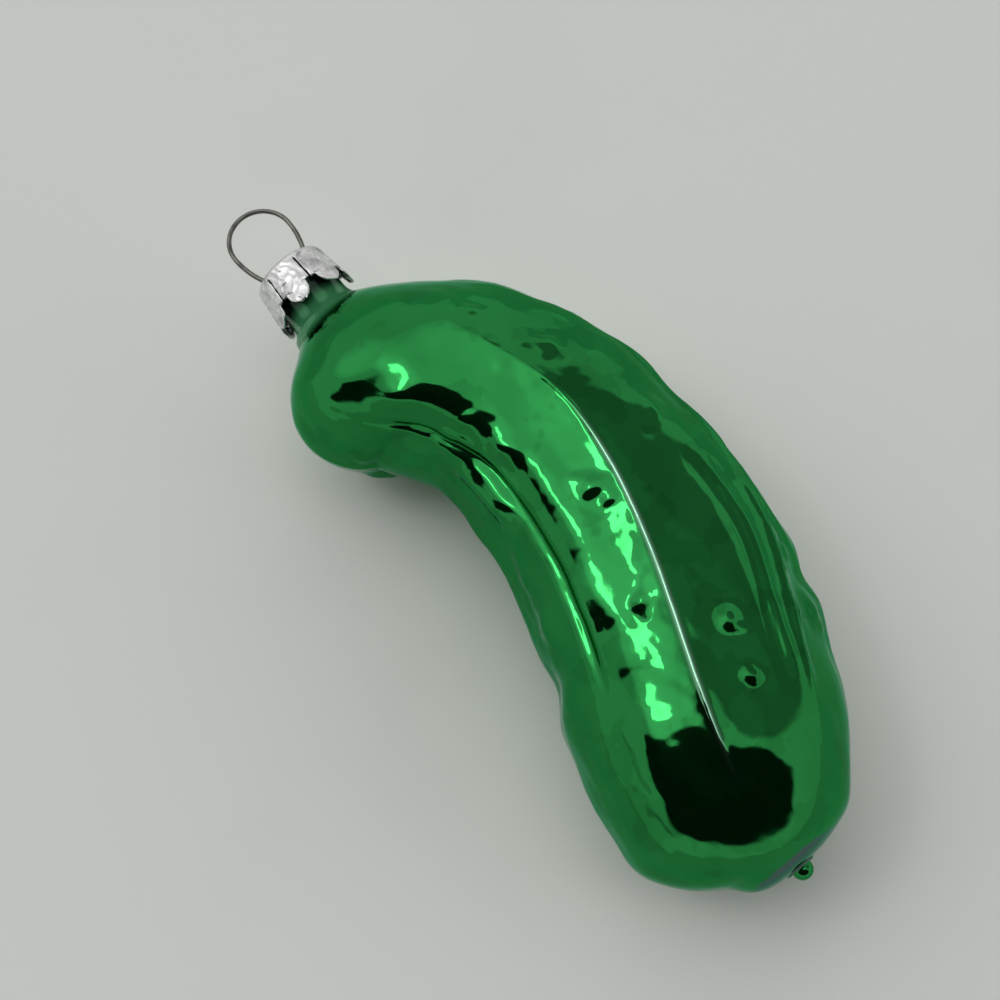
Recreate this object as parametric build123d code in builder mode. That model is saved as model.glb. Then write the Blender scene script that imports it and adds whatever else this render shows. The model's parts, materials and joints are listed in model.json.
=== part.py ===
"""Blown-glass pickle ornament lying on its side: ribbed glass body, petalled cap and sprung wire hanger.

Millimetres. While it is built, X runs along the blow axis from the mouth of the neck to the sealed tip, Y
points to the outside of the bend and Z points up from the table. The finished pieces are then moved
together, so that the origin lies under the middle of the ornament, on the table.
"""
from math import asin, atan2, cos, degrees, hypot, pi, radians, sin, sqrt, tan
import os

from build123d import *

# Neck of the glass body
neck_length = 9.0
neck_radius = 4.8
neck_wall = 0.9
neck_flare = 0.8          # radius of the hollow where the neck meets the shoulder

# Lengths of the glass body along the blow axis, one after another
shoulder_length = 18.0    # end of the neck to the widest part of the head
waist_run = 13.0          # widest part of the head to the waist
tail_run = 42.5           # waist to the widest part of the tail
tail_dome_length = 26.0   # widest part of the tail to the base of the tip
shoulder_fullness = 0.8   # 1 makes the shoulder a quarter sine wave, less makes it fuller

# Widths across the bend, and the depth that the body has all along
head_width = 37.4
waist_width = 32.6
tail_width = 40.0
body_depth = 34.8
glass_wall = 0.8

# Bend of the centre line away from the blow axis
bend = 13.4
bend_rise_length = 38.0   # end of the neck to the farthest point of the bend
bend_fall_length = 64.0   # farthest point of the bend to where the centre line is back on the axis

# Ribs along the glass body, counted around it from the top one
rib_height = 0.5
rib_strengths = [1.0, 0.9, 0.7, 0.6, 0.6, 0.6, 0.7, 0.8]
rib_start_angle = 84.0    # angle of the top rib around the blow axis at the mouth, degrees
rib_twist = 0.2           # degrees per millimetre along the blow axis
rib_sway = 4.0            # degrees by which a rib swings to both sides
rib_sway_length = 37.0    # one swing there and back
rib_sway_phase = 2.1      # sets each rib's swing apart from its neighbours'

# Lines of the two ribs beside the top one: percent of the body's length and angle around the body
left_rib = [(11, 119), (21, 124), (31, 134), (46, 138), (61, 132), (71, 136), (91, 141)]
right_rib = [(11, 405), (35, 390), (46, 388), (57, 397), (66, 398), (76, 410), (91, 415)]

# Warts: small domes, each given by its place in percent of the body's length and its angle around the body.
# The body rests on the last three.
wart_radius = 2.4
wart_height = 0.9
wart_root_share = 0.6     # depth of a wart's flat base in the wall, as a share of the wall
warts = [
    (18, 71), (27, 70), (29, 125), (29, 142), (35, 125), (43, 57), (47, 106), (48, 158), (55, 158), (62, 108),
    (68, 30), (72, 80), (76, 28), (78, 81), (22, 168), (24, 20), (37, 16), (51, 350), (66, 182), (83, 150),
    (21, 212), (41, 222), (60, 214), (77, 205), (31, 318), (47, 322), (61, 316), (79, 330),
    (19, 260), (41, 278), (75, 264),
]

# Sealed tip of the glass
tip_ring_radius = 2.2
tip_ring_length = 0.5
tip_bead_radius = 1.45

# Metal cap
sheet = 0.3
neck_clearance = 0.4      # room between the neck and the skirt of the cap
crown_edge_radius = 0.8
petal_flare = 0.9         # growth of the radius from the crown to the ends of the petals
petal_count = 7
petal_angle = 108.0       # angle of one petal's middle around the blow axis, degrees
slit_width = 0.3
slit_start = 0.2          # end of the crown's rounded edge to the top of a slit
slit_length = 3.9
tongue_length = 2.4
tongue_shoulder = 0.9     # step from the edge of a petal in to its tongue

# Wire hanger
wire_diameter = 0.7
loop_radius = 4.75
loop_height = 6.2         # top of the cap to the middle of the loop's round end
foot_inset = 0.9          # wall of the bore to the middle of a hole for the wire
foot_clearance = 0.4      # room around the wire in its hole
leg_bend_radius = 1.6
leg_spread = 2.5          # angle of a leg to the blow axis, degrees
leg_length = 10.0         # top of the cap to the end of a leg

# Cross-sections that the body is drawn through
section_count = 16
end_margin = 0.1          # first and last section from the ends of the body
joining_overlap = 0.4     # depth by which the neck and the tip run into the body
slope_step = 0.01         # step over which the slope of the body is measured

# Places worked out from these sizes
head_place = neck_length + shoulder_length
waist_place = head_place + waist_run
tail_place = waist_place + tail_run
body_end = tail_place + tail_dome_length
body_length = body_end - neck_length
bend_place = neck_length + bend_rise_length
rib_count = len(rib_strengths)
wart_sink = wart_radius - wart_height     # depth of the ball's middle below the surface
wart_base_angle = degrees(asin((wart_sink - wart_root_share * glass_wall) / wart_radius))
bore_radius = neck_radius - neck_wall
crown_radius = neck_radius + neck_clearance + sheet
crown_edge = crown_edge_radius - sheet    # end of the crown's rounded edge, and its inner radius
petal_end = crown_edge + slit_start + slit_length + tongue_length
petal_end_radius = crown_radius + petal_flare
tongue_start = petal_end - tongue_length
half_pitch = petal_end_radius * sin(pi / petal_count)
notch_edge = slit_width / 2 + tongue_shoulder
tongue_round = half_pitch - notch_edge
foot_offset = bore_radius - foot_inset


def ease(share):
    """Raised cosine from 0 to 1."""
    return (1 - cos(pi * share)) / 2


def dome(share, small):
    """Quarter ellipse that opens from the value small to 1."""
    return small + (1 - small) * sqrt(1 - (1 - share) ** 2)


def shoulder(share, small):
    """Quarter wave that opens from the value small to 1, sloping more evenly than a dome."""
    return small + (1 - small) * sin(pi / 2 * share) ** shoulder_fullness


def centre_line(place):
    """Distance of the body's centre line from the blow axis, on the outside of the bend."""
    reach = bend_rise_length if place < bend_place else bend_fall_length
    share = min(1, abs(place - bend_place) / reach)
    return bend * ease(1 - share)


def half_size(place, head, waist, tail):
    """Half a width or depth along the body, from its values at the head, the waist and the tail."""
    if place < head_place:
        return head / 2 * shoulder((place - neck_length) / shoulder_length, 2 * neck_radius / head)
    if place < waist_place:
        return (head + (waist - head) * ease((place - head_place) / waist_run)) / 2
    if place < tail_place:
        return (waist + (tail - waist) * ease((place - waist_place) / tail_run)) / 2
    return tail / 2 * dome((body_end - place) / tail_dome_length, 2 * tip_ring_radius / tail)


def half_width(place):
    return half_size(place, head_width, waist_width, tail_width)


def half_depth(place):
    return half_size(place, body_depth, body_depth, body_depth)


def body_point(place, angle, inset=0.0, raised=0.0):
    """Y and Z of a point on the body's surface, moved inwards by inset and outwards by raised ribs."""
    fullness = half_depth(place) / (body_depth / 2)
    growth = raised * fullness**2 - inset
    across = centre_line(place) + (half_width(place) + growth) * cos(radians(angle))
    height = (half_depth(place) + growth) * sin(radians(angle))
    return across, height


def line_angle(line, place):
    """Angle at a place along a line of points, straight between them and even beyond its ends."""
    percent = 100 * (place - neck_length) / body_length
    if percent <= line[0][0]:
        return line[0][1]
    for (start, start_angle), (end, end_angle) in zip(line, line[1:]):
        if percent <= end:
            return start_angle + (end_angle - start_angle) * (percent - start) / (end - start)
    return line[-1][1]


def crest_angle(rib, place):
    """Angle of a rib's crest; the ribs are counted on past a full turn."""
    turns, rib = divmod(rib, rib_count)
    even = rib_start_angle + rib_twist * place + 360 * rib / rib_count
    sway = rib_sway * sin(2 * pi * place / rib_sway_length + rib_sway_phase * rib**2)
    lines = {0: even, 1: line_angle(left_rib, place), rib_count - 1: line_angle(right_rib, place)}
    return lines.get(rib, even + sway) + 360 * turns


def rib_wave(rib, share):
    """Height at a share of the way from one rib's crest to the next one's: a cosine wave."""
    here, there = rib_strengths[rib % rib_count], rib_strengths[(rib + 1) % rib_count]
    return rib_height * (here + (there - here) * share) * cos(2 * pi * share)


def ribbed_point(place, angle):
    """Y and Z of a point on the ribbed surface."""
    first = crest_angle(0, place)
    turned = first + (angle - first) % 360
    rib = max(rib for rib in range(rib_count) if crest_angle(rib, place) <= turned)
    low, high = crest_angle(rib, place), crest_angle(rib + 1, place)
    return body_point(place, angle, raised=rib_wave(rib, (turned - low) / (high - low)))


def surface_plane(place, angle):
    """Plane that touches the ribbed surface and faces outwards."""
    across, height = ribbed_point(place, angle)
    next_across, next_height = ribbed_point(place + slope_step, angle)
    outward_y, outward_z = cos(radians(angle)), sin(radians(angle))
    rise = (next_across - across) * outward_y + (next_height - height) * outward_z
    return Plane(origin=(place, across, height), z_dir=(-rise / slope_step, outward_y, outward_z))


def section_points(place, inset):
    """Points of a closed cross-section, in turn on the crest of a rib and in a valley."""
    points = []
    for rib in range(rib_count):
        low, high = crest_angle(rib, place), crest_angle(rib + 1, place)
        for share in (0, 0.5):
            points.append(body_point(place, low + (high - low) * share, inset, rib_wave(rib, share)))
    return points


def section_places():
    """Places of the cross-sections, closer together towards both ends."""
    first = neck_length + end_margin
    run = body_end - end_margin - first
    return [first + run * ease(step / section_count) for step in range(section_count + 1)]


def wall_offset(place):
    """Shift along the blow axis and inset of the glass's inner face, square to its outer face."""
    slope = (half_depth(place + slope_step) - half_depth(place - slope_step)) / (2 * slope_step)
    length = hypot(1, slope)
    return glass_wall * slope / length, glass_wall / length


with BuildPart() as glass_body:
    for place in section_places():
        with BuildSketch(Plane.YZ.offset(place)):
            with BuildLine():
                Spline(*section_points(place, 0), periodic=True)
            make_face()
    loft()

    # Warts, as caps of balls with their flat bases in the wall
    wart_planes = [surface_plane(neck_length + body_length * percent / 100, angle) for percent, angle in warts]
    with Locations(*[plane.offset(-wart_sink) for plane in wart_planes]):
        Sphere(wart_radius, arc_size1=wart_base_angle, align=None)

    # Neck with its flare, revolved about the blow axis
    with BuildSketch():
        with BuildLine():
            flare_start = (neck_length - neck_flare, neck_radius)
            flare_end = (neck_length, neck_radius + neck_flare)
            TangentArc(flare_start, flare_end, tangent=(1, 0))
            Polyline(
                flare_end,
                (neck_length + joining_overlap, neck_radius + neck_flare),
                (neck_length + joining_overlap, 0),
                (0, 0),
                (0, neck_radius),
                flare_start,
            )
        make_face()
    revolve(axis=Axis.X)

    # Sealed tip: a ring and a bead
    with BuildSketch():
        with Locations((body_end - joining_overlap, 0)):
            Rectangle(joining_overlap + tip_ring_length, tip_ring_radius, align=Align.MIN)
        fillet(vertices().group_by(Axis.X)[-1].sort_by(Axis.Y)[-1], tip_ring_length / 2)
    revolve(axis=Axis.X)
    with Locations((body_end + tip_ring_length, 0, 0)):
        Sphere(tip_bead_radius)

    # Hollow inside, with a wall of even thickness
    for place in section_places():
        shift, inset = wall_offset(place)
        with BuildSketch(Plane.YZ.offset(place + shift)):
            with BuildLine():
                Spline(*section_points(place, inset), periodic=True)
            make_face()
    loft(mode=Mode.SUBTRACT)
    with BuildSketch(Plane.YZ):
        Circle(bore_radius)
    extrude(amount=neck_length + 2 * glass_wall, mode=Mode.SUBTRACT)

with BuildPart() as cap:
    # Crown and flared skirt as one bent sheet
    with BuildSketch():
        with BuildLine():
            Polyline(
                (0, 0),
                (-sheet, 0),
                (-sheet, crown_radius),
                (petal_end, petal_end_radius),
                (petal_end, petal_end_radius - sheet),
                (0, crown_radius - sheet),
                close=True,
            )
        make_face()
        fillet(vertices().group_by(Axis.X)[0].sort_by(Axis.Y)[-1], crown_edge_radius)
        fillet(vertices().filter_by_position(Axis.X, 0, 0).sort_by(Axis.Y)[-1], crown_edge)
    revolve(axis=Axis.X)

    # Slits between the petals, each widened to a notch between two rounded tongues
    for step in range(petal_count):
        slit_angle = petal_angle + (step + 0.5) * 360 / petal_count
        outward = (0, cos(radians(slit_angle)), sin(radians(slit_angle)))
        with BuildSketch(Plane(origin=(0, 0, 0), x_dir=(1, 0, 0), z_dir=outward).offset(neck_radius)):
            with Locations((crown_edge + slit_start, 0)):
                Rectangle(slit_length + tongue_length, slit_width, align=(Align.MIN, Align.CENTER))
            with BuildLine():
                edge = Polyline(
                    (tongue_start, 0),
                    (tongue_start, notch_edge),
                    (petal_end - tongue_round, notch_edge),
                )
                tip = TangentArc(edge @ 1, (petal_end, half_pitch), tangent=(1, 0))
                Polyline(tip @ 1, (petal_end + sheet, half_pitch), (petal_end + sheet, 0))
                mirror(about=Plane.XZ)
            make_face()
    extrude(amount=petal_end_radius, mode=Mode.SUBTRACT)

    # Holes for the wire
    with BuildSketch(Plane.YZ):
        with Locations((foot_offset, 0), (-foot_offset, 0)):
            Circle(wire_diameter / 2 + foot_clearance)
    extrude(amount=-sheet, mode=Mode.SUBTRACT)

# Turns of the wire: the slope at which it passes the holes and the radius that leads from the loop to them
foot_place = -sheet / 2
loop_place = -sheet - loop_height
foot_slope = 2 * degrees(atan2(loop_radius - foot_offset, foot_place - loop_place))
side_radius = (loop_radius - foot_offset) / (1 - cos(radians(foot_slope)))
leg_top_place = foot_place + leg_bend_radius * (sin(radians(foot_slope)) + sin(radians(leg_spread)))
leg_top_offset = foot_offset + leg_bend_radius * (cos(radians(foot_slope)) - cos(radians(leg_spread)))
leg_end_place = leg_length - sheet
leg_end_offset = leg_top_offset + (leg_end_place - leg_top_place) * tan(radians(leg_spread))

with BuildPart() as hanger:
    with BuildLine() as wire_path:
        first_leg = Line((leg_end_place, -leg_end_offset), (leg_top_place, -leg_top_offset))
        first_bend = JernArc(first_leg @ 1, first_leg % 1, leg_bend_radius, foot_slope + leg_spread)
        first_side = JernArc(first_bend @ 1, first_bend % 1, side_radius, -foot_slope)
        round_end = JernArc(first_side @ 1, first_side % 1, loop_radius, -180)
        second_side = JernArc(round_end @ 1, round_end % 1, side_radius, -foot_slope)
        second_bend = JernArc(second_side @ 1, second_side % 1, leg_bend_radius, foot_slope + leg_spread)
        Line(second_bend @ 1, (leg_end_place, leg_end_offset))
    with BuildSketch(Plane(origin=wire_path.line @ 0, z_dir=wire_path.line % 0)):
        Circle(wire_diameter / 2)
    sweep()

# Move the pieces together, so that the origin lies on the table under the middle of the ornament
outer_box = Compound([glass_body.part, cap.part, hanger.part]).bounding_box()
seat = Location((-outer_box.center().X, -outer_box.center().Y, -outer_box.min.Z))
for piece in (glass_body, cap, hanger):
    piece.part.move(seat)

glass_body.part.label = "glass_body"
cap.part.label = "cap"
hanger.part.label = "hanger"

os.makedirs("parts", exist_ok=True)
export_step(glass_body.part, "parts/glass_body.step")
export_step(cap.part, "parts/cap.step")
export_step(hanger.part, "parts/hanger.step")
print("mouth of the neck:", seat.position)
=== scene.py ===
"""Looks of a blown-glass pickle ornament: lacquered glass body, petalled cap, wire hanger and a plain studio.

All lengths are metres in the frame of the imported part. Shapes are worked out as whole arrays in the terms of
the blow axis: along runs from the mouth of the neck to the sealed tip, and around is the angle about the
axis, from +Y towards +Z.
"""
import json

import bmesh
import bpy
import numpy as np
from bpy.props import FloatProperty, FloatVectorProperty, PointerProperty
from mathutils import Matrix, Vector


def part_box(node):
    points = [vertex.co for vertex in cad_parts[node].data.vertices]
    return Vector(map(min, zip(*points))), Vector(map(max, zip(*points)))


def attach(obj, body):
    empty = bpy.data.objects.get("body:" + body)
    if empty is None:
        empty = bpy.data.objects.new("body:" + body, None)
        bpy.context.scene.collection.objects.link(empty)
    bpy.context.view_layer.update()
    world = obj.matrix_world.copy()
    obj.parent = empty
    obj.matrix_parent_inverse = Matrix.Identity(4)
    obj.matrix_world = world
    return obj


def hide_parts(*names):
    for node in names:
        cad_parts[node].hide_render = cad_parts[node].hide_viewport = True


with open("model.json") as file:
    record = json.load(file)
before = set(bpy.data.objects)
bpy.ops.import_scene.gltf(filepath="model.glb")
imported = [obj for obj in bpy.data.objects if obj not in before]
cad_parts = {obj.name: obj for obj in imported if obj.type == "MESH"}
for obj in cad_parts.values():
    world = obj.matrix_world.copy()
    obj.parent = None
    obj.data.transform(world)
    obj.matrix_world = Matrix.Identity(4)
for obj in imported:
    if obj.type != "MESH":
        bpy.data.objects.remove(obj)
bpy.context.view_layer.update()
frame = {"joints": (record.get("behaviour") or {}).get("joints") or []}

bl_info = {
    "name": "Pickle Ornament",
    "version": (1, 0, 0),
    "blender": (4, 5, 0),
    "location": "3D View > Sidebar > Pickle",
    "description": "Builds a silvered glass pickle with its cap, its wire hanger and a plain studio",
    "category": "Object",
}

MM = 0.001

# Blow axis: it leaves the mouth of the neck along +X and passes through the hinge of the hanger
hanger_hinge = next(joint for joint in frame["joints"] if joint["name"] == "hanger_tilt")
glass_low, glass_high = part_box("glass_body")
mouth = np.array([glass_low.x, *hanger_hinge["pos_m"][1:]])
glass_length = glass_high.x - glass_low.x
cap_low, cap_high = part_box("cap")

# Ribs of the glass
RIB_COUNT = 8
RIB_START = np.radians(84.0)
RIB_TWIST = np.radians(0.2) / MM
RIB_SWAY = np.radians(4.0)
RIB_SWAY_LENGTH = 37.0 * MM
RIB_SWAY_PHASE = 2.1
RIB_STRENGTHS = np.array([1.0, -0.4, 0.7, 0.6, 0.6, 0.6, 0.7, 0.8])
CREST_ROUNDING = 0.03
COLUMNS_PER_RIB = 33
CREST_CROWDING = 0.6

# Points along the body in millimetres and around it in degrees, where single ribs and folds wander
TOP_RIB = [(15, 75), (25, 81), (37, 87), (50, 91), (66, 95), (87, 100), (100, 103)]
LEFT_RIB = [(20, 144), (31, 140), (40, 139), (50, 139), (56, 136), (66, 135), (76, 136), (100, 140)]
RIGHT_RIB = [(20, 45), (44, 30), (55, 28), (66, 37), (75, 38), (85, 50), (100, 55)]
RIGHT_FOLDS = [
    [(56, 54), (65, 52), (71, 48), (81, 56), (86, 59), (94, 57)],
    [(40, 16), (52, 12), (64, 22), (80, 16)],
]
ALMOND = [(38, 149), (46, 151), (53, 147)]
SHOULDER = [(30, 122), (50, 124), (84, 126)]

# Stretches that these forms run along, in millimetres: start, end and the run of the fading inside each end
RIB_SPAN = (14, 102, 20)
SEAM_SPAN = (34, 101, 14)
# Stretch of the pale green painted along the seam as its highlight
PALE_SEAM_SPAN = (44, 98, 12)
GROOVE_SPAN = (26, 80, 12)
RIGHT_RIB_SPAN = (36, 98, 9)
FOLD_FADING = 8
ALMOND_FADING = 6
SHOULDER_START, SHOULDER_RISE = 25.5 * MM, 11 * MM
SHOULDER_END, SHOULDER_FALL = 86 * MM, 42 * MM
SWELL_FADING = 3 * MM

# Broad swells over the even body: millimetres along, degrees around, height, reach along and degrees of reach
SWELLS = [
    (34, 185, -2.2, 4.0, 60), (40, 198, -0.5, 4.0, 35), (17, 183, -0.4, 4.0, 40),
    (11.5, 165, -1.0, 3.5, 60), (28.5, 22, -0.7, 3.5, 30), (50, 18, -1.1, 6.0, 30),
    (80.5, 18, -0.8, 2.5, 30), (90, 12, -0.6, 4.0, 30), (107.5, 10, 0.7, 3.0, 50),
    (107, 184, -1.4, 4.5, 50), (95.5, 184, 0.9, 4.0, 40), (75.7, 186, 0.3, 2.5, 30),
    (70, 182, -1.0, 3.0, 30), (47.5, 194, 0.6, 3.5, 30), (31.5, 111, 0.9, 5.5, 14),
    (29.3, 124, 0.8, 2.2, 6), (20, 140, 0.4, 4.0, 12),
]

# Warts: on top, two tall ones, on the flanks and the underside, and the three that the body rests on
TOP_WARTS = [(38, 125), (44, 125), (56, 105), (71, 106)]
TALL_WARTS = [(80, 78), (87, 78)]
FLANK_WARTS = [
    (27, 71), (36, 70), (38, 142), (52, 57), (57, 158), (64, 158), (77, 30), (85, 28), (31, 168), (33, 20),
    (46, 16), (60, 350), (30, 212), (50, 222), (69, 214), (86, 205), (40, 318), (56, 322), (70, 316),
    (88, 330),
]
RESTING_WARTS = [(28, 260), (50, 278), (84, 264)]
MOAT_DEPTH, MOAT_PLACE, MOAT_WIDTH = 0.1, 1.9, 0.6

# Unevenness of the blown glass: setting, squeeze along the body, wave lengths in millimetres, waves and seed
UNEVENNESS = [
    ("lump_height", 0.5, 7, 16, 40, 11),
    ("dent_height", 0.7, 4, 8, 60, 15),
    ("ripple_height", 0.5, 2.2, 4.5, 60, 12),
    ("grain_height", 1.0, 1.5, 3, 60, 16),
]

# Horizontal directions of the room: the side that the camera stands on, and across it towards the tail
CAMERA_SIDE = (0.766, -0.643, 0)
TAIL_SIDE = (0.643, 0.766, 0)
CAMERA_TARGET = np.array([45.5, 1.6, 0.0]) * MM


def length(label, text, millimetres):
    """Length property, given in millimetres and kept in metres."""
    return FloatProperty(
        name=label, description=text, default=millimetres * MM, min=0.0, precision=5,
        subtype="DISTANCE", unit="LENGTH",
    )


def angle(label, text, degrees):
    """Angle property, given in degrees."""
    return FloatProperty(
        name=label, description=text, default=float(np.radians(degrees)), subtype="ANGLE", unit="ROTATION"
    )


def factor(label, text, value, top=1.0):
    """Plain number property."""
    return FloatProperty(name=label, description=text, default=value, min=0.0, max=top, subtype="FACTOR")


def colour(label, text, *rgb):
    """Colour property, in linear light."""
    return FloatVectorProperty(
        name=label, description=text, default=rgb, size=3, min=0.0, max=1.0, subtype="COLOR"
    )


class GlassSettings(bpy.types.PropertyGroup):
    """Sizes and colours of the glass body."""

    neck_length: length("Neck length", "Mouth of the neck to the shoulder", 9.0)
    neck_radius: length("Neck radius", "Outer radius of the neck", 4.8)
    neck_wall: length("Neck wall", "Thickness of the glass at the mouth", 0.9)
    shoulder_length: length("Shoulder length", "End of the neck to the widest part of the head", 18.0)
    shoulder_fullness: factor("Shoulder fullness", "1 makes it a quarter sine wave, less fuller", 0.8, 2.0)
    waist_run: length("Waist run", "Widest part of the head to the waist", 13.0)
    tail_run: length("Tail run", "Waist to the widest part of the tail", 42.5)
    tail_dome: length("Tail dome", "Widest part of the tail to the base of the tip", 26.0)
    head_width: length("Head width", "Width of the head across the bend", 37.4)
    waist_width: length("Waist width", "Width of the waist across the bend", 32.6)
    tail_width: length("Tail width", "Width of the tail across the bend", 40.0)
    depth: length("Depth", "Depth of the body from the table up", 34.8)
    wall: length("Wall", "Distance of the inner face from the outer face's mean", 1.6)
    bend: length("Bend", "Farthest distance of the centre line from the blow axis", 13.4)
    bend_rise: length("Bend rise", "End of the neck to the farthest point of the bend", 38.0)
    bend_fall: length("Bend fall", "Farthest point of the bend to its end on the blow axis", 64.0)
    rib_height: length("Rib height", "Height of a crest, and depth of a valley, about the mean surface", 0.5)
    seam_height: length("Seam height", "Height of the mould seam on the top crest", 0.2)
    seam_width: length("Seam width", "Distance over which the seam falls to a third", 0.35)
    groove_depth: length("Groove depth", "Depth of the groove along the left rib", 0.45)
    groove_width: length("Groove width", "Distance over which the groove rises by two thirds", 0.7)
    groove_lip: length("Groove lip", "Middle of the groove to the top of its lip", 1.5)
    shoulder_height: length("Shoulder height", "Height of the rounded shoulder beside the top rib", 1.0)
    shoulder_width: length("Shoulder width", "Distance over which this shoulder falls to a third", 4.5)
    fold_height: length("Fold height", "Height of the wavy folds on the right flank", 0.35)
    fold_width: length("Fold width", "Distance over which a fold falls to a third", 0.8)
    almond_height: length("Almond height", "Height of the long bump beside the left groove", 1.1)
    almond_width: length("Almond width", "Distance over which this bump falls to a third", 1.5)
    top_wart: length("Top wart", "Height of a wart on top of the body", 0.45)
    top_wart_spread: length("Top wart spread", "Distance over which such a wart falls to a third", 1.3)
    tall_wart: length("Tall wart", "Height of a wart on the right of the top rib", 0.8)
    tall_wart_spread: length("Tall wart spread", "Distance over which such a wart falls to a third", 1.17)
    flank_wart: length("Flank wart", "Height of a wart on the flanks", 0.45)
    flank_wart_spread: length("Flank wart spread", "Distance over which such a wart falls to a third", 1.4)
    resting_wart: length("Resting wart", "Height of a wart that the body rests on", 0.95)
    lump_height: length("Lump height", "Size of the slow unevenness of the blown surface", 0.06)
    dent_height: length("Dent height", "Size of the dents between lumps and ripples", 0.045)
    ripple_height: length("Ripple height", "Size of the quick unevenness of the blown surface", 0.022)
    grain_height: length("Grain height", "Size of the finest unevenness of the blown surface", 0.008)
    tip_ring_radius: length("Tip ring radius", "Radius of the ring around the sealed tip", 2.2)
    tip_bead_radius: length("Tip bead radius", "Radius of the drop of glass on the tip", 1.45)
    lacquer: colour("Lacquer", "Green of the lacquer over the silver", 0.014, 0.225, 0.048)
    deep_lacquer: colour("Deep lacquer", "Green where the lacquer lies thicker", 0.008, 0.165, 0.032)
    edge_tint: colour("Edge tint", "Green left in the mirror where it is seen edge-on", 0.3, 0.75, 0.5)
    # Painted highlight: pale green laid along the seam crest
    worn_lacquer: colour("Worn lacquer", "Pale green of the thin lacquer on the seam", 0.3, 0.6, 0.42)
    neck_lacquer: colour("Neck lacquer", "Green of the neck, which has no silver behind it", 0.05, 0.25, 0.10)
    # Painted shade: near-black laid on the neck under the cap's petals
    neck_soot: colour("Neck soot", "Dark of the neck under the petals of the cap", 0.003, 0.008, 0.005)
    burnt_silver: colour("Burnt silver", "Grey of the silver around the sealed tip", 0.10, 0.105, 0.13)
    burnt_reach: length("Burnt reach", "Sealed tip to the outer edge of the burnt silver", 9.3)
    burnt_fading: length("Burnt fading", "Width of the edge of the burnt silver", 4.0)
    bare_reach: length("Bare reach", "Reach of the unsilvered glass past the neck", 5.0)
    bare_fading: length("Bare fading", "Width of the edge of the unsilvered glass, along the body", 4.0)
    # Width of the painted highlight along the seam
    pale_seam_width: length("Pale seam width", "Distance over which the pale falls to a third", 0.3)
    # Reach of the painted shade on the neck under the cap
    soot_end: length("Soot end", "Mouth of the neck to the end of its dark part", 7.8)
    soot_fading: length("Soot fading", "Width of the edge of the dark part", 1.8)


class CapSettings(bpy.types.PropertyGroup):
    """Sizes and colours of the cap."""

    crown_radius: length("Crown radius", "Outer radius at the top of the skirt", 5.5)
    petal_end_radius: length("Petal end radius", "Radius at the ends of the petals", 6.3)
    edge_radius: length("Edge radius", "Radius of the rounded edge of the crown", 0.8)
    sheet: length("Sheet", "Thickness of the metal", 0.3)
    slit_width: length("Slit width", "Gap between two petals", 0.3)
    slit_start: length("Slit start", "Mouth of the neck to the top of a slit", 0.7)
    tongue_start: length("Tongue start", "Mouth of the neck to the step where a petal narrows", 4.6)
    tongue_width: length("Tongue width", "Width of a petal's rounded tongue", 3.5)
    petal_angle: angle("Petal angle", "Angle of one petal's middle around the blow axis", 108.0)
    hole_offset: length("Hole offset", "Blow axis to the middle of a wire hole", 3.0)
    hole_radius: length("Hole radius", "Radius of a wire hole", 0.75)
    crinkle: length("Crinkle", "Size of the embossed crinkles", 0.07)
    flare_spread: length("Flare spread", "How unevenly the petals are bent outwards", 0.3)
    metal: colour("Metal", "Colour of the cap's metal", 0.74, 0.75, 0.75)


class HangerSettings(bpy.types.PropertyGroup):
    """Sizes and colours of the wire hanger."""

    wire_diameter: length("Wire diameter", "Thickness of the wire", 0.7)
    loop_radius: length("Loop radius", "Radius of the round end, to the middle of the wire", 4.75)
    loop_height: length("Loop height", "Top of the cap to the middle of the round end", 6.2)
    foot_offset: length("Foot offset", "Blow axis to the wire where it passes the cap", 3.0)
    leg_bend_radius: length("Leg bend radius", "Radius of the bend below the cap", 1.6)
    leg_spread: angle("Leg spread", "Angle of a leg to the blow axis", 2.5)
    leg_length: length("Leg length", "Top of the cap to the end of a leg", 10.0)
    steel: colour("Steel", "Colour of the wire", 0.20, 0.20, 0.185)


class StageSettings(bpy.types.PropertyGroup):
    """Floor, light and camera."""

    floor_size: length("Floor size", "Side of the square floor", 4000.0)
    floor: colour("Floor", "Colour of the floor", 0.92, 0.945, 0.91)
    room: factor("Room", "Brightness of the room around the ornament", 0.73, 4.0)
    box_glow: factor("Softbox glow", "Brightness of the softbox's face", 5.0, 20.0)
    camera_turn: angle("Camera turn", "Azimuth of the camera, from looking along +Y", 50.62)
    camera_rise: angle("Camera rise", "Elevation of the camera", 72.0)
    camera_distance: length("Camera distance", "Camera to the point that it looks at", 256.4)
    camera_angle: angle("Camera angle", "Field of view", 30.0)


def ease(share):
    """Raised cosine from 0 to 1, flat outside."""
    return (1 - np.cos(np.pi * np.clip(share, 0, 1))) / 2


def dome(share, small):
    """Quarter ellipse that opens from small to 1."""
    return small + (1 - small) * np.sqrt(1 - (1 - np.clip(share, 0, 1)) ** 2)


def shoulder(share, small, fullness):
    """Quarter wave that opens from small to 1, sloping more evenly than a dome."""
    return small + (1 - small) * np.sin(np.pi / 2 * np.clip(share, 0, 1)) ** fullness


def hump(distance, spread):
    """Bell curve of height 1 that falls to a third at the distance spread."""
    return np.exp(-((distance / spread) ** 2))


def window(along, start, end, fading):
    """1 between start and end, easing to 0 over the run fading inside them, all three in millimetres."""
    return ease((along / MM - start) / fading) * ease((end - along / MM) / fading)


def wander(points, along):
    """Angle along a line of points (millimetres, degrees): straight runs, averaged over a few millimetres."""
    place, degrees = np.array(points, float).T
    shifts = np.linspace(-5, 5, 11) * MM
    return np.radians(np.mean([np.interp(along + shift, place * MM, degrees) for shift in shifts], axis=0))


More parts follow.
